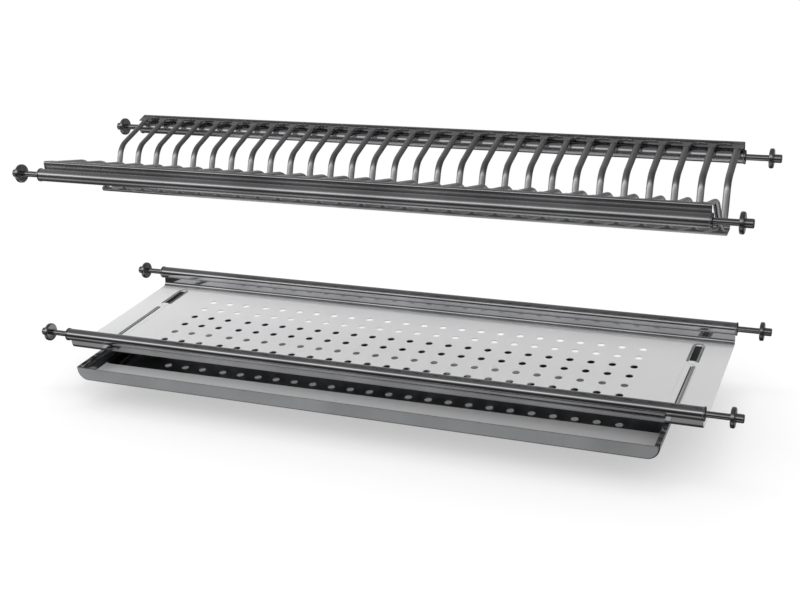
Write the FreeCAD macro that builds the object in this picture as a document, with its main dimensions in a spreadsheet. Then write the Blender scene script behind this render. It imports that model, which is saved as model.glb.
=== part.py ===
import FreeCAD, Part
import os
import Sketcher

# Stainless dish rack for a wall cabinet. A plate rack hangs above a perforated cup tray, and a drip tray
# slides under the cup tray. Each rail ends in two sprung pins that snap into holes in the cabinet's sides.
# Row frame: the origin is the lower back left pin, on its axis, where its flange meets the cabinet side.
# X runs to the right, Y to the back of the cabinet and Z up. All sizes are in millimetres.

doc = FreeCAD.newDocument("CabinetDishRack")
dims = doc.addObject("Spreadsheet::Sheet", "dims")

drivingSizes = {
    # the cabinet that the racks fit
    "cabinetSpan": 864,
    "pinDepth": 224,
    "rackRise": 212,
    # sprung pins
    "noseRadius": 4.75,
    "noseLength": 8.5,
    "noseChamfer": 0.8,
    "flangeRadius": 11.25,
    "flangeThick": 5,
    "flangeRound": 1.6,
    "rodRadius": 3.5,
    "rodShow": 28,
    "headClearance": 0.5,
    "headLength": 3,
    "headGap": 0.4,
    "stubRadius": 2.4,
    "stubLength": 20,
    # guide bushes in the rail ends
    "bushLength": 12,
    "collarRise": 0.6,
    "collarThick": 1.2,
    "collarDish": 0.8,
    "rodClearance": 0.05,
    "seatClearance": 0.1,
    # springs and the plugs they push against
    "springLength": 48,
    "springRadius": 4.6,
    "springWire": 0.5,
    "springTurns": 12,
    "springGap": 0.1,
    "stopLength": 4,
    # sheet metal
    "sheetThick": 0.8,
    "tubeRadius": 7.5,
    # plate rack
    "ribPitch": 28,
    "ribWidth": 8,
    "ribDepth": 3.4,
    "ribRound": 1.6,
    "hemBend": 2.3,
    "hemLength": 14,
    "notchDepth": 9,
    "notchRound": 7,
    "frontRise": 14.8,
    "frontSlope": 14,
    "frontRun": 48,
    "frontBend": 30,
    "frontDrop": 50,
    "backRise": 16.3,
    "backSlope": 16,
    "backBend": 27,
    "backDrop": 67,
    "channelFront": 43,
    "channelBack": 46,
    "channelBase": 55.5,
    "channelWidth": 24.2,
    "channelBend": 4,
    "scallopBase": 51,
    "scallopRound": 8,
    # cup tray
    "trayDrop": 19,
    "wallSlope": 85,
    "wallBend": 6,
    "holeRadius": 4.5,
    "columnPitch": 25.6,
    "rowPitch": 25,
    "columnInset": 101,
    "firstRow": 55,
    "rowInset": 40,
    "groupColumns": 3,
    "groupGap": 30,
    "beadInset": 1.3,
    "beadWidth": 4,
    "beadHeight": 0.8,
    "beadFront": 24,
    "beadGap": 12,
    "slotInset": 5.3,
    "slotWidth": 9,
    "slotBack": 18,
    "slotLength": 46,
    # runners under the cup tray
    "runnerFront": 24,
    "runnerOver": 2.2,
    "lipGap": 3.2,
    "footGap": 1.2,
    "tabWidth": 7.6,
    "tabFold": 8,
    "tabGap": 0.4,
    # drip tray
    "dripFront": 43,
    "dripDepth": 193,
    "dripInset": 36.4,
    "dripHeight": 17,
    "dripCurve": 14,
    "dripFold": 2.5,
    "lipPlay": 1.4,
    "lipWidth": 5.6,
    "backLower": 2.6,
}
for row, (alias, value) in enumerate(drivingSizes.items(), start=1):
    dims.set(f"A{row}", alias)
    dims.set(f"B{row}", str(value))
    dims.setAlias(f"B{row}", alias)
doc.recompute()


def spelled(expression):
    # puts the sheet's name before each alias, so a size can be written as plain words
    words = []
    word = ""
    for letter in expression + " ":
        if letter.isalnum():
            word += letter
            continue
        words.append(f"dims.{word}" if word in drivingSizes else word)
        words.append(letter)
        word = ""
    return "".join(words).strip()


def worth(expression):
    value = dims.evalExpression(spelled(expression))
    return float(getattr(value, "Value", value))


def bind(target, sizes):
    for name, expression in sizes.items():
        target.setExpression(name, spelled(expression))


def newBody(label):
    body = doc.addObject("PartDesign::Body", label)
    body.Label = label
    body.AllowCompound = True
    return body


def newSketch(body, name, role, shift="0"):
    # shift moves the sketch's plane along its normal
    sketch = body.newObject("Sketcher::SketchObject", name)
    plane = next(item for item in body.Origin.OriginFeatures if item.Role == role)
    sketch.AttachmentSupport = [(plane, "")]
    sketch.MapMode = "FlatFace"
    bind(sketch, {"AttachmentOffset.Base.z": shift})
    doc.recompute()
    return sketch


def place(body, x, y, z, turned=False):
    # turned faces a piece made for the left end to the right end
    if turned:
        body.Placement = FreeCAD.Placement(
            FreeCAD.Vector(0, 0, 0), FreeCAD.Rotation(FreeCAD.Vector(0, 0, 1), 180)
        )
    bind(body, {"Placement.Base.x": x, "Placement.Base.y": y, "Placement.Base.z": z})


def arcCentre(start, end, radius, side):
    # the centre of an arc under half a turn; side is 1 when it turns left and -1 when it turns right
    middle = (start + end) * 0.5
    chord = end - start
    reach = max(radius * radius - chord.Length * chord.Length / 4, 0) ** 0.5
    across = FreeCAD.Vector(-chord.y, chord.x, 0).normalize()
    return middle + across * (reach * side)


def drawOutline(sketch, corners):
    # corners hold (x, y) for a straight edge to that point, or (x, y, radius, side) for an arc to it
    points = [FreeCAD.Vector(worth(c[0]), worth(c[1]), 0) for c in corners]
    edges = []
    for i, corner in enumerate(corners):
        start, end = points[i - 1], points[i]
        if len(corner) == 2:
            edges.append(sketch.addGeometry(Part.LineSegment(start, end), False))
            continue
        radius = worth(corner[2])
        centre = arcCentre(start, end, radius, corner[3])
        middle = centre + ((start + end) * 0.5 - centre).normalize() * radius
        edges.append(sketch.addGeometry(Part.Arc(start, middle, end), False))
    # a sketch may store an arc the other way round, so each edge's last point is looked up
    last = [1 if (sketch.getPoint(e, 1) - p).Length < 1e-6 else 2 for e, p in zip(edges, points)]
    limits = []
    for i, corner in enumerate(corners):
        after = (i + 1) % len(corners)
        link = Sketcher.Constraint("Coincident", edges[i], last[i], edges[after], 3 - last[after])
        sketch.addConstraint(link)
        limits.append(("DistanceX", edges[i], last[i], corner[0]))
        limits.append(("DistanceY", edges[i], last[i], corner[1]))
        if len(corner) == 4:
            limits.append(("Radius", edges[i], None, corner[2]))
    fix(sketch, limits)


def fix(sketch, limits):
    for kind, edge, point, expression in limits:
        size = worth(expression)
        if point is None:
            index = sketch.addConstraint(Sketcher.Constraint(kind, edge, size))
        else:
            index = sketch.addConstraint(Sketcher.Constraint(kind, edge, point, size))
        sketch.setExpression(f"Constraints[{index}]", spelled(expression))


def drawCircle(sketch, x, y, radius):
    centre = FreeCAD.Vector(worth(x), worth(y), 0)
    edge = sketch.addGeometry(Part.Circle(centre, FreeCAD.Vector(0, 0, 1), worth(radius)), False)
    fix(sketch, [("DistanceX", edge, 3, x), ("DistanceY", edge, 3, y), ("Radius", edge, None, radius)])


def pad(body, sketch, length):
    feature = body.newObject("PartDesign::Pad", sketch.Name + "Pad")
    feature.Profile = sketch
    feature.SideType = "Symmetric"
    bind(feature, {"Length": length})
    doc.recompute()
    return feature


def pocket(body, sketch, length):
    feature = body.newObject("PartDesign::Pocket", sketch.Name + "Pocket")
    feature.Profile = sketch
    feature.SideType = "Symmetric"
    before = body.Shape.Volume
    bind(feature, {"Length": length})
    doc.recompute()
    if body.Shape.Volume >= before:
        raise RuntimeError(f"{feature.Label} cuts nothing")
    return feature


def turnPiece(body, sketch):
    feature = body.newObject("PartDesign::Revolution", sketch.Name + "Turn")
    feature.Profile = sketch
    feature.ReferenceAxis = (sketch, ["H_Axis"])
    feature.Angle = 360
    doc.recompute()
    return feature


def repeat(body, features, sketch, axis, pitch, count, wholeBody=False):
    feature = body.newObject("PartDesign::LinearPattern", sketch.Name + "Row")
    if wholeBody:
        feature.TransformMode = "Whole shape"
    else:
        feature.Originals = features
    feature.Direction = (sketch, [axis])
    feature.Mode = "Spacing"
    bind(feature, {"Offset": pitch, "Occurrences": count})
    body.Tip = feature
    doc.recompute()
    return feature


def chosenEdges(shape, wanted):
    return [f"Edge{i}" for i, edge in enumerate(shape.Edges, start=1) if wanted(edge)]


def fillet(body, name, wanted, radius):
    base = body.Tip
    names = chosenEdges(base.Shape, wanted)
    feature = body.newObject("PartDesign::Fillet", name)
    feature.Base = (base, names)
    bind(feature, {"Radius": radius})
    doc.recompute()
    return feature


def middleOf(edge):
    return edge.valueAt((edge.FirstParameter + edge.LastParameter) / 2)


railEnd = "(flangeThick + rodShow)"
railHalf = f"(cabinetSpan / 2 - {railEnd})"
railLength = f"2 * {railHalf}"
bore = "(tubeRadius - sheetThick)"
rackPlace = ("cabinetSpan / 2", "-pinDepth")
# as many ribs as the rails have room for, with one in the middle
ribCount = f"(2 * floor(({railHalf} - ribWidth / 2) / ribPitch) + 1)"

# Section of the plate rack, in y from the front pins' axis and z from the pins' axis. One strip of sheet
# is rolled into a tube, rises beside it, bends over as a hem and runs on as ribs.
frontTurn = (f"({bore} + hemBend)", "(frontRise - hemBend)")
backTurn = ("(pinDepth + tubeRadius - hemBend)", "(backRise - hemBend)")


def frontPoint(along, depth):
    # a point on the front hem's slope: along it from the end of the bend, depth under its top face
    y = f"({frontTurn[0]} + (hemBend - {depth}) * sin(frontSlope) + ({along}) * cos(frontSlope))"
    z = f"({frontTurn[1]} + (hemBend - {depth}) * cos(frontSlope) - ({along}) * sin(frontSlope))"
    return y, z


def backPoint(along, depth):
    y = f"({backTurn[0]} - (hemBend - {depth}) * sin(backSlope) - ({along}) * cos(backSlope))"
    z = f"({backTurn[1]} + (hemBend - {depth}) * cos(backSlope) - ({along}) * sin(backSlope))"
    return y, z


def frontCurve(depth):
    # the two ends of the front ribs' bend, depth under the top face
    y, z = frontPoint("hemLength + frontRun", "frontBend")
    steep = (
        f"({y} + (frontBend - {depth}) * sin(frontDrop))",
        f"({z} + (frontBend - {depth}) * cos(frontDrop))",
    )
    return frontPoint("hemLength + frontRun", depth), steep


def backCurve(depth):
    y, z = backPoint(backReach, "backBend")
    steep = (
        f"({y} - (backBend - {depth}) * sin(backDrop))",
        f"({z} + (backBend - {depth}) * cos(backDrop))",
    )
    return backPoint(backReach, depth), steep


def frontFoot(depth):
    # where the front ribs meet the channel
    y, z = frontCurve(depth)[1]
    return f"({y} + ({z} + channelFront) / tan(frontDrop))", "(-channelFront)"


# how far the back ribs run before their bend, which leaves the channel its width
bendY, bendZ = backPoint("0", "backBend")
backReach = (
    f"(({bendY} - backBend * sin(backDrop)"
    f" - ({bendZ} + backBend * cos(backDrop) + channelBack) / tan(backDrop)"
    f" - {frontFoot('0')[0]} - channelWidth) / (cos(backSlope) - sin(backSlope) / tan(backDrop)))"
)


def backFoot(depth):
    y, z = backCurve(depth)[1]
    return f"({y} - ({z} + channelBack) / tan(backDrop))", "(-channelBack)"


def tubeRing(y):
    quarter = [
        (y, "tubeRadius", "tubeRadius", 1),
        (f"{y} - tubeRadius", "0", "tubeRadius", 1),
        (y, "-tubeRadius", "tubeRadius", 1),
        (f"{y} + tubeRadius", "0", "tubeRadius", 1),
    ]
    return quarter


def railBody(label, side):
    body = newBody(label)
    section = newSketch(body, label + "_section", "YZ_Plane")
    chord = f"sqrt(tubeRadius ^ 2 - {bore} ^ 2)"
    if side == "front":
        outline = [
            ("tubeRadius", frontTurn[1]),
            (*frontPoint("0", "sheetThick"), "hemBend - sheetThick", -1),
            frontPoint("hemLength", "sheetThick"),
            frontPoint("hemLength", "0"),
            frontPoint("0", "0"),
            (bore, frontTurn[1], "hemBend", 1),
            (bore, chord),
            *tubeRing("0"),
        ]
        drawOutline(section, outline)
        drawCircle(section, "0", "0", bore)
    else:
        outer = "pinDepth + tubeRadius"
        outline = [
            (outer, backTurn[1]),
            (*backPoint("0", "0"), "hemBend", 1),
            backPoint("hemLength", "0"),
            backPoint("hemLength", "sheetThick"),
            backPoint("0", "sheetThick"),
            (f"{outer} - sheetThick", backTurn[1], "hemBend - sheetThick", -1),
            (f"{outer} - sheetThick", chord),
            *tubeRing("pinDepth"),
        ]
        drawOutline(section, outline)
        drawCircle(section, "pinDepth", "0", bore)
    pad(body, section, railLength)
    # rounded slot ends between the ribs
    notch = newSketch(body, label + "_notch", "XY_Plane", "backRise")
    middle = f"({ribCount} - 2) * ribPitch / 2"
    half = "(ribPitch - ribWidth) / 2"
    if side == "front":
        deep = f"{frontPoint('hemLength', '0')[0]} - notchDepth"
        open_ = f"{frontPoint('hemLength', '0')[0]} + notchRound"
        corner = f"{deep} + notchRound"
        shape = [
            (f"-{middle} + {half}", open_),
            (f"-{middle} - {half}", open_),
            (f"-{middle} - {half}", corner),
            (f"-{middle} - {half} + notchRound", deep, "notchRound", 1),
            (f"-{middle} + {half} - notchRound", deep),
            (f"-{middle} + {half}", corner, "notchRound", 1),
        ]
    else:
        deep = f"{backPoint('hemLength', '0')[0]} + notchDepth"
        open_ = f"{backPoint('hemLength', '0')[0]} - notchRound"
        corner = f"{deep} - notchRound"
        shape = [
            (f"-{middle} - {half}", open_),
            (f"-{middle} + {half}", open_),
            (f"-{middle} + {half}", corner),
            (f"-{middle} + {half} - notchRound", deep, "notchRound", 1),
            (f"-{middle} - {half} + notchRound", deep),
            (f"-{middle} - {half}", corner, "notchRound", 1),
        ]
    drawOutline(notch, shape)
    cut = pocket(body, notch, "2 * (backRise - tubeRadius - sheetThick)")
    repeat(body, [cut], notch, "H_Axis", "ribPitch", f"{ribCount} - 1")
    place(body, *rackPlace, "rackRise")
    return body


def ribBody(label, side):
    body = newBody(label)
    section = newSketch(body, label + "_section", "YZ_Plane")
    hollow = newSketch(body, label + "_hollow", "YZ_Plane")
    if side == "front":
        point, curve, foot, bend, turn = frontPoint, frontCurve, frontFoot, "frontBend", -1
    else:
        point, curve, foot, bend, turn = backPoint, backCurve, backFoot, "backBend", 1
    for sketch, upper, lower in ((section, "0", "ribDepth"), (hollow, "sheetThick", "2 * ribDepth")):
        topStart, topEnd = curve(upper)
        lowStart, lowEnd = curve(lower)
        outline = [
            topStart,
            (*topEnd, f"{bend} - {upper}", turn),
            foot(upper),
            foot(lower),
            lowEnd,
            (*lowStart, f"{bend} - {lower}", -turn),
            point("hemLength", lower),
            point("hemLength", upper),
        ]
        drawOutline(sketch, outline)
    solid = pad(body, section, "ribWidth")
    shape = solid.Shape
    least = 1.5 * worth("ribDepth")

    def onTop(edge):
        if edge.Length < least or abs(abs(edge.BoundBox.XMin) - worth("ribWidth") / 2) > 0.01:
            return False
        if edge.BoundBox.XLength > 0.01:
            return False
        spot = middleOf(edge)
        below = FreeCAD.Vector(0, spot.y, spot.z - 0.05)
        return shape.isInside(below, 0.001, False)

    fillet(body, label + "_rounding", onTop, "ribRound")
    pocket(body, hollow, "ribWidth - 2 * sheetThick")
    repeat(body, [], section, "N_Axis", "ribPitch", ribCount, wholeBody=True)
    place(body, f"cabinetSpan / 2 - ({ribCount} - 1) * ribPitch / 2", "-pinDepth", "rackRise")
    return body


frontRail = railBody("upper_front_rail", "front")
backRail = railBody("upper_back_rail", "back")
frontRibs = ribBody("upper_front_ribs", "front")
backRibs = ribBody("upper_back_ribs", "back")

# channel under the ribs, where the plates' lower edges stand
channel = newBody("upper_channel")
channelSection = newSketch(channel, "channel_section", "YZ_Plane")
frontWall = frontFoot("0")[0]
backWall = backFoot("0")[0]
channelFloor = "(-channelBase - sheetThick)"
innerBend = "channelBend - sheetThick"
drawOutline(channelSection, [
    (f"{frontWall} - sheetThick", f"{channelFloor} + channelBend"),
    (f"{frontWall} - sheetThick + channelBend", channelFloor, "channelBend", 1),
    (f"{backWall} + sheetThick - channelBend", channelFloor),
    (f"{backWall} + sheetThick", f"{channelFloor} + channelBend", "channelBend", 1),
    (f"{backWall} + sheetThick", "-channelBack"),
    (backWall, "-channelBack"),
    (backWall, f"{channelFloor} + channelBend"),
    (f"{backWall} + sheetThick - channelBend", "-channelBase", innerBend, -1),
    (f"{frontWall} - sheetThick + channelBend", "-channelBase"),
    (frontWall, f"{channelFloor} + channelBend", innerBend, -1),
    (frontWall, "-channelFront"),
    (f"{frontWall} - sheetThick", "-channelFront"),
])
pad(channel, channelSection, railLength)
scallop = newSketch(channel, "channel_scallop", "XZ_Plane")
scallopMiddle = f"({ribCount} - 2) * ribPitch / 2"
scallopHalf = "(ribPitch - ribWidth) / 2"
drawOutline(scallop, [
    (f"-{scallopMiddle} + {scallopHalf}", "0"),
    (f"-{scallopMiddle} - {scallopHalf}", "0"),
    (f"-{scallopMiddle} - {scallopHalf}", "-scallopBase + scallopRound"),
    (f"-{scallopMiddle} - {scallopHalf} + scallopRound", "-scallopBase", "scallopRound", 1),
    (f"-{scallopMiddle} + {scallopHalf} - scallopRound", "-scallopBase"),
    (f"-{scallopMiddle} + {scallopHalf}", "-scallopBase + scallopRound", "scallopRound", 1),
])
scallopCut = pocket(channel, scallop, "4 * pinDepth")
repeat(channel, [scallopCut], scallop, "H_Axis", "ribPitch", f"{ribCount} - 1")
place(channel, *rackPlace, "rackRise")

# cup tray: one sheet with a rolled tube along its front and back edges
tray = newBody("lower_tray_sheet")
wallSpan = "((trayDrop + sheetThick / 2 * cos(wallSlope)) / sin(wallSlope))"
wallEnd = f"({wallSpan} - wallBend * tan(wallSlope / 2))"
flatStart = f"(sheetThick / 2 * sin(wallSlope) + {wallSpan} * cos(wallSlope) + wallBend * tan(wallSlope / 2))"


def wallPoint(along, side):
    # a point on the front wall's slope; side is 1 on its top face and -1 under it
    y = f"({side} * sheetThick / 2 * sin(wallSlope) + ({along}) * cos(wallSlope))"
    z = f"({side} * sheetThick / 2 * cos(wallSlope) - ({along}) * sin(wallSlope))"
    return y, z


def mirrored(point):
    return f"(pinDepth - {point[0]})", point[1]


wallTop = "tubeRadius - sheetThick / 2"
sheetSection = newSketch(tray, "sheet_section", "YZ_Plane")
drawOutline(sheetSection, [
    wallPoint(wallEnd, 1),
    (flatStart, "-trayDrop", "wallBend", 1),
    (f"pinDepth - {flatStart}", "-trayDrop"),
    (*mirrored(wallPoint(wallEnd, 1)), "wallBend", 1),
    mirrored(wallPoint(wallTop, 1)),
    mirrored(wallPoint(wallTop, -1)),
    mirrored(wallPoint(wallEnd, -1)),
    (f"pinDepth - {flatStart}", "-trayDrop - sheetThick", "wallBend + sheetThick", -1),
    (flatStart, "-trayDrop - sheetThick"),
    (*wallPoint(wallEnd, -1), "wallBend + sheetThick", -1),
    wallPoint(wallTop, -1),
    wallPoint(wallTop, 1),
])
pad(tray, sheetSection, railLength)
tubeSection = newSketch(tray, "tube_section", "YZ_Plane")
for place_ in ("0", "pinDepth"):
    drawCircle(tubeSection, place_, "0", "tubeRadius")
    drawCircle(tubeSection, place_, "0", bore)
pad(tray, tubeSection, railLength)
# the runners, the slots over them and the drip tray all lie at one distance from the rail ends
dripHalf = f"({railHalf} - dripInset)"
dripTop = "(trayDrop + 2 * sheetThick + lipPlay)"
runnerOuter = f"({dripHalf} + runnerOver)"
runnerInner = f"({dripHalf} - lipWidth - lipGap - sheetThick)"
slotPlace = f"({runnerOuter} - slotInset)"
slotFront = "(pinDepth - slotBack - slotLength)"
beadPlace = f"({runnerOuter} - beadInset)"
beadSection = newSketch(tray, "bead_section", "XY_Plane", "-trayDrop")
slotSection = newSketch(tray, "slot_section", "XY_Plane", "-trayDrop")


def sideBlock(sketch, side, place, width, start, length):
    # a rectangle near one end of the tray; side is 1 at the right end and -1 at the left
    low = f"{side} * {place} - {width} / 2"
    high = f"{side} * {place} + {width} / 2"
    drawOutline(sketch, [
        (high, start),
        (high, f"{start} + {length}"),
        (low, f"{start} + {length}"),
        (low, start),
    ])


for side in (-1, 1):
    beadLength = f"({slotFront} - beadGap - beadFront)"
    sideBlock(beadSection, side, beadPlace, "beadWidth", "beadFront", beadLength)
    sideBlock(slotSection, side, slotPlace, "slotWidth", slotFront, "slotLength")
pad(tray, beadSection, "2 * beadHeight")
pocket(tray, slotSection, "4 * sheetThick")
# as many holes as the flat has room for, with a small group apart at the left
lastColumn = f"({railHalf} - columnInset)"
groupWidth = "(groupGap + (groupColumns - 1) * columnPitch)"
holeColumns = f"(floor((2 * {lastColumn} - {groupWidth}) / columnPitch) + 1)"
firstColumn = f"({lastColumn} - ({holeColumns} - 1) * columnPitch)"
holeRows = int(worth("floor((pinDepth - firstRow - rowInset) / rowPitch) + 1"))
for name, start, columns in (
    ("hole_field", firstColumn, holeColumns),
    ("hole_group", f"{firstColumn} - {groupWidth}", "groupColumns"),
):
    holes = newSketch(tray, name, "XY_Plane", "-trayDrop")
    for row in range(holeRows):
        drawCircle(holes, start, f"firstRow + {row} * rowPitch", "holeRadius")
    holeCut = pocket(tray, holes, "4 * sheetThick")
    repeat(tray, [holeCut], holes, "H_Axis", "columnPitch", columns)
place(tray, *rackPlace, "0")


def runnerBody(label, side):
    # a channel welded under the tray; its foot carries the drip tray's lip and its tab hooks a slot
    body = newBody(label)
    endY = f"({slotFront} + tabGap + sheetThick)"
    footTop = f"(-{dripTop} - sheetThick)"
    footOuter = f"({dripHalf} - sheetThick - footGap)"
    middle = f"(runnerFront + {endY}) / 2"
    section = newSketch(body, label + "_section", "XZ_Plane", f"-{middle}")
    drawOutline(section, [
        (f"{side} * {runnerInner}", "-trayDrop - sheetThick"),
        (f"{side} * {runnerInner}", f"{footTop} - sheetThick"),
        (f"{side} * {footOuter}", f"{footTop} - sheetThick"),
        (f"{side} * {footOuter}", footTop),
        (f"{side} * ({runnerInner} + sheetThick)", footTop),
        (f"{side} * ({runnerInner} + sheetThick)", "-trayDrop - 2 * sheetThick"),
        (f"{side} * {runnerOuter}", "-trayDrop - 2 * sheetThick"),
        (f"{side} * {runnerOuter}", "-trayDrop - sheetThick"),
    ])
    pad(body, section, f"{endY} - runnerFront")
    tab = newSketch(body, label + "_tab", "YZ_Plane", f"{side} * {slotPlace}")
    drawOutline(tab, [
        (endY, "-trayDrop - 2 * sheetThick"),
        (endY, "-trayDrop + sheetThick"),
        (f"{endY} - tabFold", "-trayDrop + sheetThick"),
        (f"{endY} - tabFold", "-trayDrop"),
        (f"{endY} - sheetThick", "-trayDrop"),
        (f"{endY} - sheetThick", "-trayDrop - 2 * sheetThick"),
    ])
    pad(body, tab, "tabWidth")
    place(body, *rackPlace, "0")
    return body


runnerBody("left_tray_runner", -1)
runnerBody("right_tray_runner", 1)

# drip tray, drawn a little out of the rack as it stands in the photo
drip = newBody("drip_tray")
dripSection = newSketch(drip, "drip_section", "XY_Plane", f"-{dripTop} - dripHeight / 2")
dripBack = "(dripDepth - dripFront)"
drawOutline(dripSection, [
    (dripHalf, "-dripFront"),
    (dripHalf, dripBack),
    (f"-{dripHalf}", dripBack),
    (f"-{dripHalf}", "-dripFront"),
])
pad(drip, dripSection, "dripHeight")
floorLevel = -worth(f"{dripTop} + dripHeight")


def alongDepth(edge):
    return edge.BoundBox.ZMax < floorLevel + 0.01 and edge.BoundBox.XLength < 0.01


def alongWidth(edge):
    return edge.BoundBox.ZMax < floorLevel + 0.01 and edge.BoundBox.YLength < 0.01


# the floor sweeps up into the ends and is folded up at the front and back
fillet(drip, "drip_bend", alongDepth, "dripCurve")
fillet(drip, "drip_fold", alongWidth, "dripFold")
dripBlock = drip.Tip
topFace = max(range(len(dripBlock.Shape.Faces)), key=lambda i: dripBlock.Shape.Faces[i].CenterOfMass.z)
dripWall = drip.newObject("PartDesign::Thickness", "drip_wall")
dripWall.Base = (dripBlock, [f"Face{topFace + 1}"])
bind(dripWall, {"Value": "sheetThick"})
doc.recompute()
if max(corner.X for corner in drip.Shape.Vertexes) > worth(dripHalf) + 0.1:
    raise RuntimeError("the drip tray's wall grew outwards")
# the back wall is lower, so that it passes under the runners
backCut = newSketch(drip, "back_cut", "XZ_Plane", f"-{dripBack}")
drawOutline(backCut, [
    (f"{dripHalf} - sheetThick", f"-{dripTop} - backLower"),
    (f"{dripHalf} - sheetThick", f"-{dripTop} + sheetThick"),
    (f"sheetThick - {dripHalf}", f"-{dripTop} + sheetThick"),
    (f"sheetThick - {dripHalf}", f"-{dripTop} - backLower"),
])
pocket(drip, backCut, "4 * sheetThick")
lips = newSketch(drip, "lips", "XY_Plane", f"-{dripTop} - sheetThick / 2")
for side in (-1, 1):
    lipPlace = f"({dripHalf} - lipWidth / 2)"
    sideBlock(lips, side, lipPlace, "lipWidth", "(dripFold - dripFront)", "(dripDepth - 2 * dripFold)")
pad(drip, lips, "sheetThick")
place(drip, *rackPlace, "0")


# pieces at the rail ends, drawn for a left end with X from the flange's outer face into the rail
def pinBody(label):
    body = newBody(label)
    section = newSketch(body, label + "_section", "XY_Plane")
    headStart = f"({railEnd} + bushLength + headGap)"
    headEnd = f"({headStart} + headLength)"
    drawOutline(section, [
        ("-noseLength", "0"),
        ("-noseLength", "noseRadius - noseChamfer"),
        ("-noseLength + noseChamfer", "noseRadius"),
        ("0", "noseRadius"),
        ("0", "flangeRadius - flangeRound"),
        ("flangeRound", "flangeRadius", "flangeRound", -1),
        ("flangeThick - flangeRound", "flangeRadius"),
        ("flangeThick", "flangeRadius - flangeRound", "flangeRound", -1),
        ("flangeThick", "rodRadius"),
        (headStart, "rodRadius"),
        (headStart, f"{bore} - headClearance"),
        (headEnd, f"{bore} - headClearance"),
        (headEnd, "stubRadius"),
        (f"{headEnd} + stubLength", "stubRadius"),
        (f"{headEnd} + stubLength", "0"),
    ])
    turnPiece(body, section)
    return body


def bushBody(label):
    body = newBody(label)
    section = newSketch(body, label + "_section", "XY_Plane")
    drawOutline(section, [
        (f"{railEnd} - collarThick", "rodRadius + rodClearance"),
        (f"{railEnd} - collarThick", "tubeRadius"),
        (f"{railEnd} - collarThick - collarDish", "tubeRadius + collarRise"),
        (f"{railEnd} - collarDish", "tubeRadius + collarRise"),
        (railEnd, "tubeRadius"),
        (railEnd, f"{bore} - seatClearance"),
        (f"{railEnd} + bushLength", f"{bore} - seatClearance"),
        (f"{railEnd} + bushLength", "rodRadius + rodClearance"),
    ])
    turnPiece(body, section)
    return body


springStart = f"({railEnd} + bushLength + headGap + headLength)"


def springBody(label):
    body = newBody(label)
    wire = newSketch(body, label + "_wire", "XY_Plane")
    drawCircle(wire, f"{springStart} + springGap + springWire", "springRadius", "springWire")
    coil = body.newObject("PartDesign::AdditiveHelix", label + "_coil")
    coil.Profile = wire
    coil.ReferenceAxis = (wire, ["H_Axis"])
    coil.Mode = "height-turns-angle"
    bind(coil, {"Height": "springLength - 2 * springGap - 2 * springWire", "Turns": "springTurns"})
    doc.recompute()
    return body


def stopBody(label):
    body = newBody(label)
    section = newSketch(body, label + "_section", "XY_Plane")
    drawOutline(section, [
        (f"{springStart} + springLength", "0"),
        (f"{springStart} + springLength", f"{bore} - seatClearance"),
        (f"{springStart} + springLength + stopLength", f"{bore} - seatClearance"),
        (f"{springStart} + springLength + stopLength", "0"),
    ])
    turnPiece(body, section)
    return body


for rack, height in (("upper", "rackRise"), ("lower", "0")):
    for depth, reach in (("front", "-pinDepth"), ("back", "0")):
        for end, across, turned in (("left", "0", False), ("right", "cabinetSpan", True)):
            corner = f"{rack}_{depth}_{end}"
            for piece, build in (
                ("pin", pinBody),
                ("bush", bushBody),
                ("spring", springBody),
                ("spring_stop", stopBody),
            ):
                place(build(f"{corner}_{piece}"), across, reach, height, turned)

doc.recompute()
os.makedirs("parts", exist_ok=True)
bodies = [item for item in doc.Objects if item.TypeId == "PartDesign::Body"]
for item in doc.Objects:
    if "Invalid" in item.State or "Error" in item.State:
        raise RuntimeError(f"{item.Label} did not build: {item.State}")
for body in bodies:
    if body.Shape.isNull() or not body.Shape.isValid():
        raise RuntimeError(f"{body.Label} has no valid shape")
    body.Shape.exportStep(f"parts/{body.Label}.step")
    print(f"{body.Label} {len(body.Shape.Solids)} solids, {body.Shape.Volume / 1000:.2f} cm3")
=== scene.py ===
import math
import bmesh
import bpy
from mathutils import Matrix, Vector


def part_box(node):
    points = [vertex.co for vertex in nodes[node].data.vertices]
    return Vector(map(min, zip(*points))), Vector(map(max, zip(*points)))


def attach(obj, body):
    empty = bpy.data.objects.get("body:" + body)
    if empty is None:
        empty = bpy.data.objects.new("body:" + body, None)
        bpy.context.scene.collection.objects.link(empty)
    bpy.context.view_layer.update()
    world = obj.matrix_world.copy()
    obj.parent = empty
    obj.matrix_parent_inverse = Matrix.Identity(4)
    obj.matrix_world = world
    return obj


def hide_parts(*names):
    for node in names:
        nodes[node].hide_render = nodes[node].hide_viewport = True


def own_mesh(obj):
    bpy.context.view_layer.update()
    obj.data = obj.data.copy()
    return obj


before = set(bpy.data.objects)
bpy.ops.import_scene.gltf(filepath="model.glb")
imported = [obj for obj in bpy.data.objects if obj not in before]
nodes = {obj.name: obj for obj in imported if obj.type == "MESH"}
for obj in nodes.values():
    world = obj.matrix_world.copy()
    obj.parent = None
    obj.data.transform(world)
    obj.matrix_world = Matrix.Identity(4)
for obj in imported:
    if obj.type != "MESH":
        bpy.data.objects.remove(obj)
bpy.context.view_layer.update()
scene = bpy.context.scene

# sizes of the rack in metres, in the row frame
span = 0.864
depth = 0.224
rise = 0.212
middle = span / 2
railHalf = 0.399


def newMaterial(name):
    mat = bpy.data.materials.new(name)
    mat.use_nodes = True
    tree = mat.node_tree
    return mat, tree, tree.nodes["Principled BSDF"]


def addNode(tree, kind, **values):
    node = tree.nodes.new(kind)
    for key, value in values.items():
        setattr(node, key, value)
    return node


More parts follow.
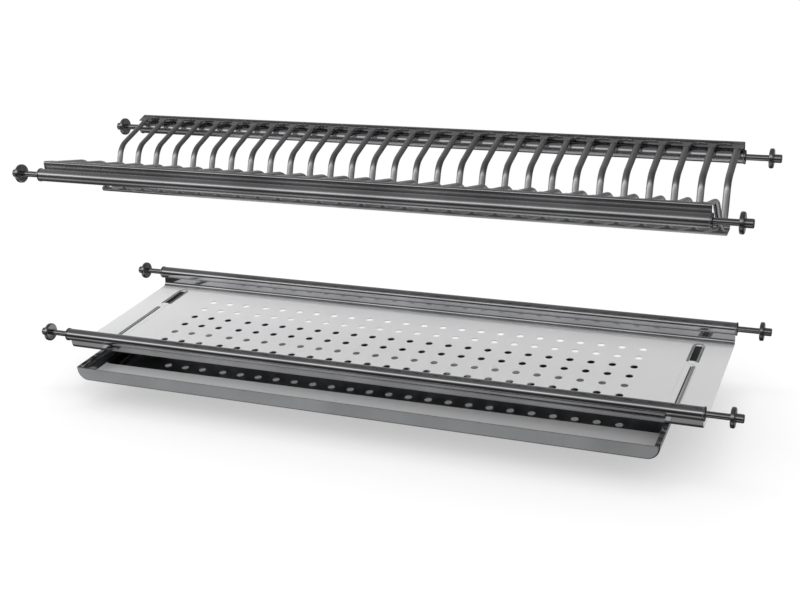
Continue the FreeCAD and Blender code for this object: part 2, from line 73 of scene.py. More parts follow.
def remap(tree, socket, start, end, low=0.0, high=1.0, **values):
    # start to end on the socket becomes low to high on the result
    node = addNode(tree, "ShaderNodeMapRange", **values)
    node.inputs["From Min"].default_value = start
    node.inputs["From Max"].default_value = end
    node.inputs["To Min"].default_value = low
    node.inputs["To Max"].default_value = high
    tree.links.new(socket, node.inputs["Value"])
    return node.outputs["Result"]


def product(tree, one, other):
    node = addNode(tree, "ShaderNodeMath", operation="MULTIPLY")
    tree.links.new(one, node.inputs[0])
    tree.links.new(other, node.inputs[1])
    return node.outputs["Value"]


def within(tree, socket, low, high, soft):
    # 1 between low and high, falling to 0 over a soft edge
    climb = remap(tree, socket, low - soft, low)
    fall = remap(tree, socket, high, high + soft, 1.0, 0.0)
    return product(tree, climb, fall)


def fillRamp(ramp, stops):
    # stops are (position, colour) from low to high
    elements = ramp.color_ramp.elements
    while len(elements) < len(stops):
        elements.new(0.5)
    for element, (position, colour) in zip(elements, stops):
        element.position = position
        element.color = (*colour, 1)


# how strongly the satin tones, which are partly painted light, lean to blue
coolTint = 1.01

steelNoise = {
    "grainDetail": 6.0, "grainRoughness": 0.6, "stainScale": 14.0, "stainDetail": 3.0,
    "darkUpTo": 0.3, "lightFrom": 0.7, "smoothest": 0.7, "roughest": 1.4, "bumpDistance": 0.0004,
}


def addSatinAndPaintedLight(tree, shader, look, coord, tone, rough):
    # parts of the sheet that are satin, by where they lie on the piece; their lighter base colour is partly
    # painted light
    parts = addNode(tree, "ShaderNodeSeparateXYZ")
    tree.links.new(coord.outputs["Object"], parts.inputs["Vector"])
    satinAndPaintedLight = look["satinAndPaintedLight"]
    # skew turns the zone's long edges a little
    turned = addNode(tree, "ShaderNodeMath", operation="MULTIPLY_ADD")
    turned.inputs[1].default_value = -satinAndPaintedLight["skew"]
    tree.links.new(parts.outputs["X"], turned.inputs[0])
    tree.links.new(parts.outputs["Y"], turned.inputs[2])
    acrossY = within(tree, turned.outputs["Value"], *satinAndPaintedLight["y"])
    acrossZ = within(tree, parts.outputs["Z"], *satinAndPaintedLight["z"])
    satinAndLitZone = product(tree, acrossY, acrossZ)
    # painted light: the base colour in the zone runs from lighter at the left end to darker at the right,
    # as the studio light falls
    along = addNode(tree, "ShaderNodeValToRGB")
    fillRamp(along, [(place, (value, value, value * coolTint)) for place, value in satinAndPaintedLight["paintedLightTones"]])
    tree.links.new(remap(tree, parts.outputs["X"], 0.0, span), along.inputs["Fac"])
    colour = addNode(tree, "ShaderNodeMix", data_type="RGBA")
    tree.links.new(satinAndLitZone, colour.inputs["Factor"])
    tree.links.new(tone.outputs["Color"], colour.inputs["A"])
    tree.links.new(along.outputs["Color"], colour.inputs["B"])
    tree.links.new(colour.outputs["Result"], shader.inputs["Base Color"])
    tree.links.new(remap(tree, satinAndLitZone, 0.0, 1.0, 1.0, satinAndPaintedLight["metallic"]), shader.inputs["Metallic"])
    dull = addNode(tree, "ShaderNodeMix", data_type="FLOAT")
    dull.inputs["B"].default_value = satinAndPaintedLight["roughness"]
    tree.links.new(satinAndLitZone, dull.inputs["Factor"])
    tree.links.new(rough, dull.inputs["A"])
    tree.links.new(dull.outputs["Result"], shader.inputs["Roughness"])


def polishedSteel(name, look):
    # a faint rolling grain, soft stains and a little roughness that varies
    mat, tree, shader = newMaterial(name)
    coord = addNode(tree, "ShaderNodeTexCoord")
    stretch = addNode(tree, "ShaderNodeMapping")
    stretch.inputs["Scale"].default_value = look["grainScale"]
    tree.links.new(coord.outputs["Object"], stretch.inputs["Vector"])
    grain = addNode(tree, "ShaderNodeTexNoise")
    grain.inputs["Scale"].default_value = 1.0
    grain.inputs["Detail"].default_value = steelNoise["grainDetail"]
    grain.inputs["Roughness"].default_value = steelNoise["grainRoughness"]
    tree.links.new(stretch.outputs["Vector"], grain.inputs["Vector"])
    stain = addNode(tree, "ShaderNodeTexNoise")
    stain.inputs["Scale"].default_value = steelNoise["stainScale"]
    stain.inputs["Detail"].default_value = steelNoise["stainDetail"]
    tree.links.new(coord.outputs["Object"], stain.inputs["Vector"])
    tone = addNode(tree, "ShaderNodeValToRGB")
    fillRamp(tone, [(steelNoise["darkUpTo"], look["dark"]), (steelNoise["lightFrom"], look["light"])])
    tree.links.new(stain.outputs["Fac"], tone.inputs["Fac"])
    tree.links.new(tone.outputs["Color"], shader.inputs["Base Color"])
    rough = remap(
        tree, grain.outputs["Fac"], 0.0, 1.0,
        look["roughness"] * steelNoise["smoothest"], look["roughness"] * steelNoise["roughest"],
    )
    if "satinAndPaintedLight" in look:
        addSatinAndPaintedLight(tree, shader, look, coord, tone, rough)
    else:
        tree.links.new(rough, shader.inputs["Roughness"])
        shader.inputs["Metallic"].default_value = 1.0
    bump = addNode(tree, "ShaderNodeBump")
    bump.inputs["Strength"].default_value = look["bump"]
    bump.inputs["Distance"].default_value = steelNoise["bumpDistance"]
    tree.links.new(grain.outputs["Fac"], bump.inputs["Height"])
    tree.links.new(bump.outputs["Normal"], shader.inputs["Normal"])
    return mat


steels = {
    "rack": polishedSteel("rackSteel", {
        "dark": (0.42, 0.42, 0.43), "light": (0.56, 0.56, 0.57), "roughness": 0.22,
        "bump": 0.02, "grainScale": (6, 500, 500),
    }),
    "tray": polishedSteel("traySteel", {
        "dark": (0.40, 0.40, 0.41), "light": (0.54, 0.54, 0.55), "roughness": 0.09,
        "bump": 0.03, "grainScale": (6, 400, 400),
        # the flat of the cup tray is satin; its base colour falling from the left end to the right is
        # painted light
        "satinAndPaintedLight": {
            "y": (-0.217, -0.007, 0.003), "z": (-0.0194, -0.0181, 0.0008), "metallic": 0.12,
            "roughness": 0.34, "paintedLightTones": [(0.0, 0.86), (0.5, 0.79), (1.0, 0.74)], "skew": 0.0,
        },
    }),
    "drip": polishedSteel("dripSteel", {
        "dark": (0.50, 0.51, 0.52), "light": (0.64, 0.65, 0.66), "roughness": 0.06,
        "bump": 0.03, "grainScale": (6, 400, 400),
        # painted light: on the drip tray the satin zone is the band of floor behind the front wall that the
        # lamp lights in front of the cup tray's shadow
        "satinAndPaintedLight": {
            "y": (-0.2661, -0.2188, 0.0006), "z": (-0.0385, -0.0372, 0.0004), "metallic": 0.1,
            "roughness": 0.4, "paintedLightTones": [(0.0, 0.88), (0.5, 0.80), (1.0, 0.66)], "skew": 0.0125,
        },
    }),
    "pin": polishedSteel("pinSteel", {
        "dark": (0.26, 0.26, 0.27), "light": (0.40, 0.40, 0.41), "roughness": 0.2,
        "bump": 0.12, "grainScale": (900, 60, 60),
    }),
    # painted highlight: a lighter copy of the tray steel, so that the pressed ridges and slot rims read
    # light
    "ridge": polishedSteel("paintedHighlightSteel", {
        "dark": (0.74, 0.75, 0.76), "light": (0.84, 0.85, 0.86), "roughness": 0.16,
        "bump": 0.02, "grainScale": (400, 6, 400),
    }),
    # painted shade: near-black steel for the skin and pocket that stand in for shade at the ends of the cup
    # tray
    "dark": polishedSteel("paintedShadeSteel", {
        "dark": (0.05, 0.05, 0.05), "light": (0.09, 0.09, 0.09), "roughness": 0.35,
        "bump": 0.05, "grainScale": (200, 60, 200),
    }),
    "spring": polishedSteel("springSteel", {
        "dark": (0.45, 0.45, 0.46), "light": (0.55, 0.55, 0.56), "roughness": 0.3,
        "bump": 0.1, "grainScale": (300, 300, 300),
    }),
}


plasticLook = {
    "speckScale": 400.0, "dark": (0.07, 0.07, 0.075), "light": (0.10, 0.10, 0.105),
    "bump": 0.15, "bumpDistance": 0.0002, "roughness": 0.5,
}


def mouldedPlastic(name):
    mat, tree, shader = newMaterial(name)
    coord = addNode(tree, "ShaderNodeTexCoord")
    speck = addNode(tree, "ShaderNodeTexNoise")
    speck.inputs["Scale"].default_value = plasticLook["speckScale"]
    tree.links.new(coord.outputs["Object"], speck.inputs["Vector"])
    tone = addNode(tree, "ShaderNodeValToRGB")
    fillRamp(tone, [(0.0, plasticLook["dark"]), (1.0, plasticLook["light"])])
    tree.links.new(speck.outputs["Fac"], tone.inputs["Fac"])
    tree.links.new(tone.outputs["Color"], shader.inputs["Base Color"])
    bump = addNode(tree, "ShaderNodeBump")
    bump.inputs["Strength"].default_value = plasticLook["bump"]
    bump.inputs["Distance"].default_value = plasticLook["bumpDistance"]
    tree.links.new(speck.outputs["Fac"], bump.inputs["Height"])
    tree.links.new(bump.outputs["Normal"], shader.inputs["Normal"])
    shader.inputs["Roughness"].default_value = plasticLook["roughness"]
    return mat


stopPlastic = mouldedPlastic("stopPlastic")


def finishFor(name):
    if name.endswith("_pin") or name.endswith("_bush"):
        return steels["pin"]
    if name.endswith("_spring"):
        return steels["spring"]
    if name.endswith("_spring_stop"):
        return stopPlastic
    if name == "drip_tray":
        return steels["drip"]
    if name.startswith("upper"):
        return steels["rack"]
    return steels["tray"]


for name, obj in nodes.items():
    obj.data.materials.clear()
    obj.data.materials.append(finishFor(name))
print("materials done")


def addPiece(name, bm, material, hides=(), body="racks", sharpAngle=38):
    bmesh.ops.recalc_face_normals(bm, faces=bm.faces)
    for face in bm.faces:
        face.smooth = True
    limit = math.radians(sharpAngle)
    for edge in bm.edges:
        edge.smooth = len(edge.link_faces) == 2 and edge.calc_face_angle(0) < limit
    mesh = bpy.data.meshes.new(name)
    bm.to_mesh(mesh)
    bm.free()
    piece = bpy.data.objects.new(name, mesh)
    scene.collection.objects.link(piece)
    mesh.materials.append(material)
    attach(piece, body)
    if hides:
        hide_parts(*hides)
    return piece


def roundedPath(corners, step=5):
    # corners are (y, z, radius); returns stations (y, z, heading) with every bend drawn as an arc
    stations = []
    for i, (y, z, radius) in enumerate(corners):
        here = Vector((y, z))
        if radius == 0:
            other = corners[i + 1] if i == 0 else corners[i - 1]
            along = (Vector(other[:2]) - here) * (1 if i == 0 else -1)
            stations.append((y, z, math.atan2(along.y, along.x)))
            continue
        before = (here - Vector(corners[i - 1][:2])).normalized()
        after = (Vector(corners[i + 1][:2]) - here).normalized()
        start = math.atan2(before.y, before.x)
        turn = before.angle_signed(after) * -1
        reach = radius * math.tan(abs(turn) / 2)
        side = 1 if turn > 0 else -1
        centre = here - before * reach + Vector((-before.y, before.x)) * radius * side
        count = max(2, math.ceil(math.degrees(abs(turn)) / step))
        for k in range(count + 1):
            heading = start + turn * k / count
            spot = centre + Vector((math.sin(heading), -math.cos(heading))) * radius * side
            stations.append((spot.x, spot.y, heading))
    return stations


def densePath(stations, gap):
    # adds stations on the straight runs, so that none is longer than gap
    dense = [stations[0]]
    for y, z, heading in stations[1:]:
        y0, z0, h0 = dense[-1]
        length = math.hypot(y - y0, z - z0)
        pieces = max(1, math.ceil(length / gap))
        for k in range(1, pieces + 1):
            f = k / pieces
            dense.append((y0 + (y - y0) * f, z0 + (z - z0) * f, h0 + (heading - h0) * f))
    return dense


# section of the plate rack in metres: y from the front pins' axis, z from the pins' axis
plate = {
    "tube": 0.0075, "sheet": 0.0008, "bend": 0.0023, "frontTop": 0.0148, "backTop": 0.0163,
    "frontSlope": math.radians(14), "frontDrop": math.radians(50), "frontBend": 0.030,
    "backSlope": math.radians(16), "backDrop": math.radians(67), "backBend": 0.027,
    "hem": 0.014, "frontRun": 0.048, "backRun": 0.050, "frontFoot": -0.043,
    "backFoot": -0.046, "floor": -0.0555, "floorBend": 0.0032, "footBend": 0.006,
    "pitch": 0.028, "ribs": 29, "ribWidth": 0.008, "ribDepth": 0.0034, "notch": 0.009,
    "scallop": -0.051, "stripStart": 0.002, "stationGap": 0.0045, "bendStep": 6, "across": 10,
    # rows of points near a slot's ends, and the shape of the ends
    "insets": (0, 0.00005, 0.0003, 0.0008, 0.0015, 0.0025, 0.004, 0.006, 0.008, 0.011),
    "slotPower": 2.4, "frontStopReach": 0.008, "backSlotFrom": 0.05,
    # a rib turns from flat to arched over this length
    "archFrom": 0.001, "archLength": 0.014,
}


def plateCorners():
    p = plate
    frontStart = Vector((
        p["tube"] - p["sheet"] + p["bend"] + p["bend"] * math.sin(p["frontSlope"]),
        p["frontTop"] - p["bend"] + p["bend"] * math.cos(p["frontSlope"]),
    ))
    backEnd = Vector((
        depth + p["tube"] - p["bend"] - p["bend"] * math.sin(p["backSlope"]),
        p["backTop"] - p["bend"] + p["bend"] * math.cos(p["backSlope"]),
    ))
    frontWay = Vector((math.cos(p["frontSlope"]), -math.sin(p["frontSlope"])))
    backWay = Vector((-math.cos(p["backSlope"]), -math.sin(p["backSlope"])))
    frontReach = p["frontBend"] * math.tan((p["frontDrop"] - p["frontSlope"]) / 2)
    backReach = p["backBend"] * math.tan((p["backDrop"] - p["backSlope"]) / 2)
    frontKnee = frontStart + frontWay * (p["hem"] + p["frontRun"] + frontReach)
    backKnee = backEnd + backWay * (p["hem"] + p["backRun"] + backReach)
    frontFootY = frontKnee.x + (frontKnee.y - p["frontFoot"]) / math.tan(p["frontDrop"])
    backFootY = backKnee.x - (backKnee.y - p["backFoot"]) / math.tan(p["backDrop"])
    return [
        (*(frontStart + frontWay * p["stripStart"]), 0),
        (*frontKnee, p["frontBend"]),
        (frontFootY, p["frontFoot"], p["footBend"]),
        (frontFootY, p["floor"], p["floorBend"]),
        (backFootY, p["floor"], p["floorBend"]),
        (backFootY, p["backFoot"], p["footBend"]),
        (*backKnee, p["backBend"]),
        (*(backEnd - backWay * -p["stripStart"]), 0),
    ]


def slotHalf(inside, reach, full):
    # half width of a slot this far in from its rounded end
    if inside <= 0:
        return 0.0
    f = min(inside / reach, 1.0)
    return full * (1 - (1 - f) ** plate["slotPower"]) ** (1 / plate["slotPower"])


def smooth(f):
    f = min(max(f, 0.0), 1.0)
    return f * f * (3 - 2 * f)


def addPlateGrid():
    p = plate
    stations = densePath(roundedPath(plateCorners(), p["bendStep"]), p["stationGap"])
    # lengths along the path, and where the slots start and stop
    lengths = [0.0]
    for a, b in zip(stations, stations[1:]):
        lengths.append(lengths[-1] + math.hypot(b[0] - a[0], b[1] - a[1]))
    total = lengths[-1]
    scallopFront = next(l for l, st in zip(lengths, stations) if st[1] < p["scallop"])
    scallopBack = max(l for l, st in zip(lengths, stations) if st[1] < p["scallop"])
    notchStart = p["hem"] - p["stripStart"] - p["notch"]
    slots = [(notchStart, scallopFront), (scallopBack, total - notchStart)]
    marks = sorted({round(l, 5) for l in lengths} | {
        round(end + way * inset, 5)
        for start, stop in slots for end, way in ((start, 1), (stop, -1))
        for inset in p["insets"]
    })
    full = (p["pitch"] - p["ribWidth"]) / 2
    across = p["across"]
    bm = bmesh.new()
    rows = []
    place = 0
    for mark in marks:
        while place < len(lengths) - 2 and lengths[place + 1] < mark:
            place += 1
        f = (mark - lengths[place]) / max(lengths[place + 1] - lengths[place], 1e-9)
        a, b = stations[place], stations[place + 1]
        y, z, heading = (a[k] + (b[k] - a[k]) * f for k in range(3))
        gap = 0.0
        arch = 0.0
        for start, stop in slots:
            if start < mark < stop:
                inside = min(mark - start, stop - mark)
                atStart = abs(inside - (mark - start)) < 1e-9
                wide = atStart or start > p["backSlotFrom"]
                reach = p["notch"] if wide else p["frontStopReach"]
                gap = slotHalf(inside, reach, full)
                arch = smooth((inside - p["archFrom"]) / p["archLength"])
        rows.append((y, z, heading, gap, arch))
    for i in range(p["ribs"]):
        centreX = middle + (i - (p["ribs"] - 1) / 2) * p["pitch"]
        grid = []
        for y, z, heading, gap, arch in rows:
            half = p["pitch"] / 2 - gap
            line = []
            for k in range(across + 1):
                flat = -1 + 2 * k / across
                angle = flat * math.pi / 2
                u = (flat + (math.sin(angle) - flat) * arch) * half
                drop = p["ribDepth"] * (1 - math.cos(angle)) * arch
                x = min(max(centreX + u, middle - railHalf), middle + railHalf)
                down = Vector((math.sin(heading), -math.cos(heading))) * drop
                line.append(bm.verts.new((x, y + down.x - depth, z + down.y + rise)))
            grid.append(line)
        for lineA, lineB in zip(grid, grid[1:]):
            for k in range(across):
                quad = (lineA[k], lineA[k + 1], lineB[k + 1], lineB[k])
                if (quad[0].co - quad[1].co).length > 1e-7:
                    bm.faces.new(quad)
    bmesh.ops.remove_doubles(bm, verts=bm.verts, dist=1e-5)
    bmesh.ops.delete(bm, geom=[v for v in bm.verts if not v.link_faces], context="VERTS")
    bmesh.ops.recalc_face_normals(bm, faces=bm.faces)
    if sum(face.normal.z for face in bm.faces) < 0:
        bmesh.ops.reverse_faces(bm, faces=bm.faces)
    bmesh.ops.solidify(bm, geom=bm.faces[:], thickness=p["sheet"])
    addPiece("plateGrid", bm, steels["rack"],
             ("upper_front_ribs", "upper_channel", "upper_back_ribs"))


addPlateGrid()
print("plate grid done")

# pressed strips along both ends of the cup tray, in metres from the middle and from the front pins
ends = {
    "top": -0.01905, "inner": 0.3520, "outer": 0.3596, "front": 0.014, "back": 0.1515,
    "lift": 0.0007, "edge": 0.0009, "ridge": 0.3635, "ridgeHalf": 0.0023, "ridgeLift": 0.0013,
    "ridgeBack": 0.1495, "slot": 0.3595, "slotHalf": 0.0045, "rimHalf": 0.0062, "rimFront": 0.160,
    "rimBack": 0.2105, "rimRound": 0.0058, "rimWidth": 0.0014, "rimLift": 0.0008,
    "rimEnd": 0.004, "rimSteps": 8, "rimEndLift": 0.2, "skin": 0.00012, "grooveIn": 0.004,
    "grooveEdge": 0.0002, "pocketUnder": -0.0201, "pocketTop": -0.0207, "pocketLow": -0.0214,
    "pocketOver": 0.002, "pocketEdge": 0.001, "pocketFront": 0.003, "pocketBack": 0.002,
    # distance from an end of the strip or ridge, and the share of its full height there
    "stripRise": ((0, 0), (0.002, 0.8), (0.004, 1)), "stripFall": ((0.003, 1), (0.001, 0.8), (0, 0)),
    "ridgeRise": ((0, 0), (0.002, 0.8), (0.005, 1)), "ridgeFall": ((0.004, 1), (0.001, 0.7), (0, 0)),
}


def loftRows(bm, rows, capped=True):
    lines = [[bm.verts.new(point) for point in row] for row in rows]
    for lineA, lineB in zip(lines, lines[1:]):
        for k in range(len(lineA) - 1):
            bm.faces.new((lineA[k], lineA[k + 1], lineB[k + 1], lineB[k]))
    if capped:
        bm.faces.new(lines[0])
        bm.faces.new(lines[-1][::-1])


def tapered(front, rear, climb, fall):
    return [(front + d, f) for d, f in climb] + [(rear - d, f) for d, f in fall]


def addEndStrip(name, side):
    e = ends

    def spot(x, y, lift):
        return middle + side * x, y - depth, e["top"] + lift

    bm = bmesh.new()
    # flat strip with rounded edges, falling to the sheet at its ends
    rows = []
    for y, f in tapered(e["front"], e["back"], e["stripRise"], e["stripFall"]):
        rows.append([
            spot(e["inner"], y, 0), spot(e["inner"] + e["edge"] * 0.4, y, e["lift"] * 0.7 * f),
            spot(e["inner"] + e["edge"], y, e["lift"] * f),
            spot(e["outer"] - e["edge"], y, e["lift"] * f),
            spot(e["outer"] - e["edge"] * 0.4, y, e["lift"] * 0.6 * f), spot(e["outer"], y, 0),
        ])
    loftRows(bm, rows)
    addPiece(name, bm, steels["tray"], sharpAngle=50)
    # half round ridge beside it
    bm = bmesh.new()
    rows = []
    for y, f in tapered(e["front"], e["ridgeBack"], e["ridgeRise"], e["ridgeFall"]):
        row = []
        for k in range(9):
            turn = math.pi * k / 8
            row.append(spot(
                e["ridge"] - e["ridgeHalf"] * math.cos(turn), y, e["ridgeLift"] * math.sin(turn) * f))
        rows.append(row)
    loftRows(bm, rows)
    # raised rim round the slot
    rimEnd = e["rimFront"] + e["rimEnd"]
    near, far = e["slot"] - e["rimHalf"], e["slot"] + e["rimHalf"]
    path = [(near, e["rimFront"], math.pi), (near, rimEnd, math.pi)]
    for cornerX, start in ((-1, 180), (1, 90)):
        for k in range(e["rimSteps"] + 1):
            turn = math.radians(start - 90 * k / e["rimSteps"])
            path.append((
                e["slot"] + cornerX * (e["rimHalf"] - e["rimRound"]) + e["rimRound"] * math.cos(turn),
                e["rimBack"] - e["rimRound"] + e["rimRound"] * math.sin(turn), turn,
            ))
    path += [(far, rimEnd, 0.0), (far, e["rimFront"], 0.0)]
    rows = []
    for i, (x, y, turn) in enumerate(path):
        f = e["rimEndLift"] if i in (0, len(path) - 1) else 1
        row = []
        for k in range(7):
            swing = math.pi * k / 6
            reach = -e["rimWidth"] * math.cos(swing)
            row.append(spot(
                x + reach * math.cos(turn), y + reach * math.sin(turn), e["rimLift"] * math.sin(swing) * f))
        rows.append(row)
    loftRows(bm, rows)
    # the ridges and rims take the lighter steel, a painted highlight
    addPiece(name + "Ridge", bm, steels["ridge"], sharpAngle=50)


def addPaintedShade(name, side):
    # painted shade: a near-black skin laid on the sheet beside the strip where the groove is in shade, and
    # a near-black pocket under the slot, over the drip tray's lip, where only shade shows through
    e = ends
    bm = bmesh.new()

    def extrude(outline, front, rear, capped):
        rows = [[(middle + side * x, y - depth, z) for x, z in outline] for y in (front, rear)]
        loftRows(bm, rows, capped)

    inside = e["ridge"] - e["ridgeHalf"]
    groove = (
        (e["outer"] - e["grooveEdge"], e["top"]), (e["outer"], e["top"] + e["skin"]),
        (inside, e["top"] + e["skin"]), (inside + e["grooveEdge"], e["top"]),
    )
    extrude(groove, e["front"] + e["grooveIn"], e["back"] - e["grooveIn"], True)
    low = e["slot"] - e["slotHalf"] - e["pocketOver"]
    high = e["slot"] + e["slotHalf"] + e["pocketOver"]
    pocket = (
        (low, e["pocketUnder"]), (low + e["pocketEdge"], e["pocketTop"]),
        (high - e["pocketEdge"], e["pocketTop"]), (high, e["pocketUnder"]),
        (high, e["pocketLow"]), (low, e["pocketLow"]), (low, e["pocketUnder"]),
    )
    extrude(pocket, e["rimFront"] + e["pocketFront"], e["rimBack"] - e["pocketBack"], False)
    addPiece(name, bm, steels["dark"])


for sideName, side in (("left", -1), ("right", 1)):
    addEndStrip(sideName + "EndStrip", side)
    addPaintedShade(sideName + "Shaded", side)
print("end strips done")

# the springs inside the tubes, in metres, drawn again as coils
coil = {"turns": 12, "steps": 24, "sides": 8, "wire": 0.0005, "push": 0.0202}


def addSpring(corner):
    c = coil
    low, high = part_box(corner + "_spring")
    centre = (low + high) / 2
    radius = (high.z - low.z) / 2 - c["wire"]
    start, length = low.x + c["wire"], high.x - low.x - 2 * c["wire"]
    count = c["turns"] * c["steps"]
    rows = []
    for i in range(count + 1):
        turn = 2 * math.pi * c["turns"] * i / count
        out = Vector((0, math.cos(turn), math.sin(turn)))
        spot = Vector((start + length * i / count, centre.y, centre.z)) + out * radius
        ring = [
            spot + (out * math.cos(swing) + Vector((math.sin(swing), 0, 0))) * c["wire"]
            for swing in (2 * math.pi * k / c["sides"] for k in range(c["sides"]))
        ]
        rows.append(ring + ring[:1])
    bm = bmesh.new()
    loftRows(bm, rows)
    bmesh.ops.remove_doubles(bm, verts=bm.verts, dist=1e-7)
    piece = addPiece(corner + "_coil", bm, steels["spring"], (corner + "_spring",))
    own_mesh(piece)


for level in ("upper", "lower"):
    for edge in ("front", "back"):
        for sideName, side in (("left", -1), ("right", 1)):
            addSpring(f"{level}_{edge}_{sideName}")
print("springs done")

# camera, fitted to the eight pins: angles in degrees, place in metres, lens and sensor in millimetres
view = {
    "azimuth": 23.71, "elevation": 22.41, "roll": -3.73, "place": (1.00881, -1.39263, 0.62066),
    "lens": 55.93, "sensor": 36,
}
azimuth, elevation, roll = (math.radians(view[key]) for key in ("azimuth", "elevation", "roll"))
back = Vector((
    math.sin(azimuth) * math.cos(elevation),
    -math.cos(azimuth) * math.cos(elevation),
    math.sin(elevation),
))
right = (-back).cross(Vector((0, 0, 1))).normalized()
up = right.cross(-back)
rightTurned = math.cos(roll) * right + math.sin(roll) * up
upTurned = -math.sin(roll) * right + math.cos(roll) * up
cameraPlace = Vector(view["place"])
camera = bpy.data.objects.new("camera", bpy.data.cameras.new("camera"))
camera.data.lens = view["lens"]
camera.data.sensor_width = view["sensor"]
camera.matrix_world = Matrix((
    (rightTurned.x, upTurned.x, back.x, cameraPlace.x),
    (rightTurned.y, upTurned.y, back.y, cameraPlace.y),
    (rightTurned.z, upTurned.z, back.z, cameraPlace.z),
    (0, 0, 0, 1),
))
scene.collection.objects.link(camera)
scene.camera = camera
scene.view_settings.view_transform = "Standard"


ground = {
    "level": -0.07, "size": 6, "segments": 8, "dark": (0.94, 0.94, 0.94), "light": (0.96, 0.96, 0.96),
    "mottle": 3.0, "roughness": 0.9, "specular": 0.1,
    # where the floor turns white: centre and reach in metres, from and to in reaches
    "centre": (0.47, -0.16, 0), "reach": (0.62, 0.42, 1), "from": 0.75, "to": 1.35, "least": 0.45,
}


def addFloor():
    g = ground
    bm = bmesh.new()
    bmesh.ops.create_grid(bm, x_segments=g["segments"], y_segments=g["segments"], size=g["size"])
    bmesh.ops.translate(bm, vec=(middle, 0, g["level"]), verts=bm.verts)
    mesh = bpy.data.meshes.new("floor")
    bm.to_mesh(mesh)
    bm.free()
    floor = bpy.data.objects.new("floor", mesh)
    scene.collection.objects.link(floor)
    mat, tree, shader = newMaterial("paleFloor")
    coord = addNode(tree, "ShaderNodeTexCoord")
    mottle = addNode(tree, "ShaderNodeTexNoise")
    mottle.inputs["Scale"].default_value = g["mottle"]
    tree.links.new(coord.outputs["Object"], mottle.inputs["Vector"])
    tone = addNode(tree, "ShaderNodeValToRGB")
    fillRamp(tone, [(0.0, g["dark"]), (1.0, g["light"])])
    tree.links.new(mottle.outputs["Fac"], tone.inputs["Fac"])
    tree.links.new(tone.outputs["Color"], shader.inputs["Base Color"])
    shader.inputs["Roughness"].default_value = g["roughness"]
    shader.inputs["Specular IOR Level"].default_value = g["specular"]
    # away from the trays the floor turns plain white to the camera, and a part of white
    # everywhere keeps their shadow soft and pale
    centred = addNode(tree, "ShaderNodeMapping", vector_type="TEXTURE")
    centred.inputs["Location"].default_value = g["centre"]
    centred.inputs["Scale"].default_value = g["reach"]
    tree.links.new(coord.outputs["Object"], centred.inputs["Vector"])
    away = addNode(tree, "ShaderNodeVectorMath", operation="LENGTH")
    tree.links.new(centred.outputs["Vector"], away.inputs[0])
    fade = remap(
        tree, away.outputs["Value"], g["from"], g["to"], g["least"], interpolation_type="SMOOTHSTEP")
    paths = addNode(tree, "ShaderNodeLightPath")
    toCamera = product(tree, fade, paths.outputs["Is Camera Ray"])
    white = addNode(tree, "ShaderNodeEmission")
    white.inputs["Strength"].default_value = 1.0
    blend = addNode(tree, "ShaderNodeMixShader")
    tree.links.new(toCamera, blend.inputs["Fac"])
    tree.links.new(shader.outputs["BSDF"], blend.inputs[1])
    tree.links.new(white.outputs["Emission"], blend.inputs[2])
    output = next(node for node in tree.nodes if node.bl_idname == "ShaderNodeOutputMaterial")
    tree.links.new(blend.outputs["Shader"], output.inputs["Surface"])
    mesh.materials.append(mat)
    floor.visible_glossy = False


addFloor()

# what the polished steel mirrors, by the angle round the rack's length: 0 in front, 90 overhead, 180 behind
studioBands = [
    (-180, 0.32), (-150, 0.30), (-130, 0.05), (-62, 0.05), (-46, 0.34), (-34, 0.34), (-29, 0.27),
    (-25, 0.04), (9, 0.03), (16, 0.10), (27, 0.32), (32, 0.95), (44, 1.0), (50, 0.34), (66, 0.14),
    (100, 0.12), (140, 0.17), (165, 0.28), (180, 0.32),
]


# brightness of the studio from its left to its right, by the direction's X
sideFall = {"from": -0.9, "to": 0.7, "left": 1.7, "right": 0.5}


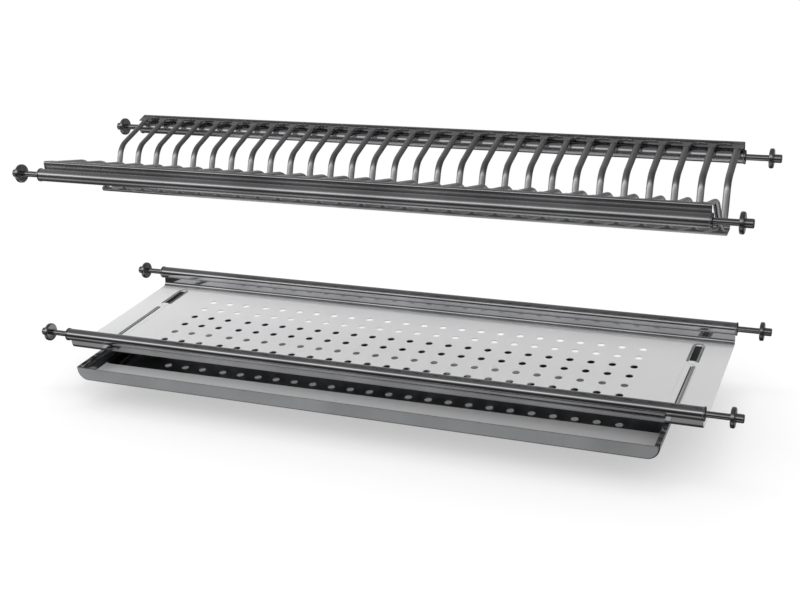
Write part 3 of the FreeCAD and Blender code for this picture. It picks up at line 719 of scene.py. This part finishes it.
def addWorld():
    # white to the camera; a studio with bands of light and dark to the polished steel
    world = bpy.data.worlds.new("studio")
    scene.world = world
    world.use_nodes = True
    tree = world.node_tree
    tree.nodes.clear()
    coord = addNode(tree, "ShaderNodeTexCoord")
    parts = addNode(tree, "ShaderNodeSeparateXYZ")
    tree.links.new(coord.outputs["Generated"], parts.inputs["Vector"])
    forward = addNode(tree, "ShaderNodeMath", operation="MULTIPLY")
    forward.inputs[1].default_value = -1.0
    tree.links.new(parts.outputs["Y"], forward.inputs[0])
    sweep = addNode(tree, "ShaderNodeMath", operation="ARCTAN2")
    tree.links.new(parts.outputs["Z"], sweep.inputs[0])
    tree.links.new(forward.outputs["Value"], sweep.inputs[1])
    bands = addNode(tree, "ShaderNodeValToRGB")
    fillRamp(bands, [((angle + 180) / 360, (value, value, value)) for angle, value in studioBands])
    tree.links.new(remap(tree, sweep.outputs["Value"], -math.pi, math.pi), bands.inputs["Fac"])
    sideways = remap(
        tree, parts.outputs["X"], sideFall["from"], sideFall["to"], sideFall["left"], sideFall["right"])
    lit = addNode(tree, "ShaderNodeVectorMath", operation="SCALE")
    tree.links.new(bands.outputs["Color"], lit.inputs[0])
    tree.links.new(sideways, lit.inputs["Scale"])
    studio = addNode(tree, "ShaderNodeBackground")
    tree.links.new(lit.outputs["Vector"], studio.inputs["Color"])
    studio.inputs["Strength"].default_value = 1.0
    ambient = addNode(tree, "ShaderNodeBackground")
    ambient.inputs["Color"].default_value = (1, 1, 1, 1)
    ambient.inputs["Strength"].default_value = 1.0
    white = addNode(tree, "ShaderNodeBackground")
    white.inputs["Color"].default_value = (1, 1, 1, 1)
    paths = addNode(tree, "ShaderNodeLightPath")
    shiny = addNode(tree, "ShaderNodeMixShader")
    tree.links.new(paths.outputs["Is Glossy Ray"], shiny.inputs["Fac"])
    tree.links.new(ambient.outputs["Background"], shiny.inputs[1])
    tree.links.new(studio.outputs["Background"], shiny.inputs[2])
    seen = addNode(tree, "ShaderNodeMixShader")
    tree.links.new(paths.outputs["Is Camera Ray"], seen.inputs["Fac"])
    tree.links.new(shiny.outputs["Shader"], seen.inputs[1])
    tree.links.new(white.outputs["Background"], seen.inputs[2])
    output = addNode(tree, "ShaderNodeOutputWorld")
    tree.links.new(seen.outputs["Shader"], output.inputs["Surface"])


addWorld()


lampTarget = (0.43, -0.1, 0.1)
lamps = {
    "overhead": {"place": (0.0, 0.45, 2.2), "size": (1.6, 0.9), "energy": 13},
    "side": {"place": (-1.8, -1.2, 1.6), "size": (1.2, 1.2), "energy": 4},
}


def addLight(name, lamp):
    data = bpy.data.lights.new(name, "AREA")
    data.shape = "RECTANGLE"
    data.size, data.size_y = lamp["size"]
    data.energy = lamp["energy"]
    light = bpy.data.objects.new(name, data)
    light.location = lamp["place"]
    towards = Vector(lampTarget) - Vector(lamp["place"])
    light.rotation_euler = towards.to_track_quat("-Z", "Y").to_euler()
    light.visible_glossy = False
    scene.collection.objects.link(light)


for name, lamp in lamps.items():
    addLight(name, lamp)
print("stage done")
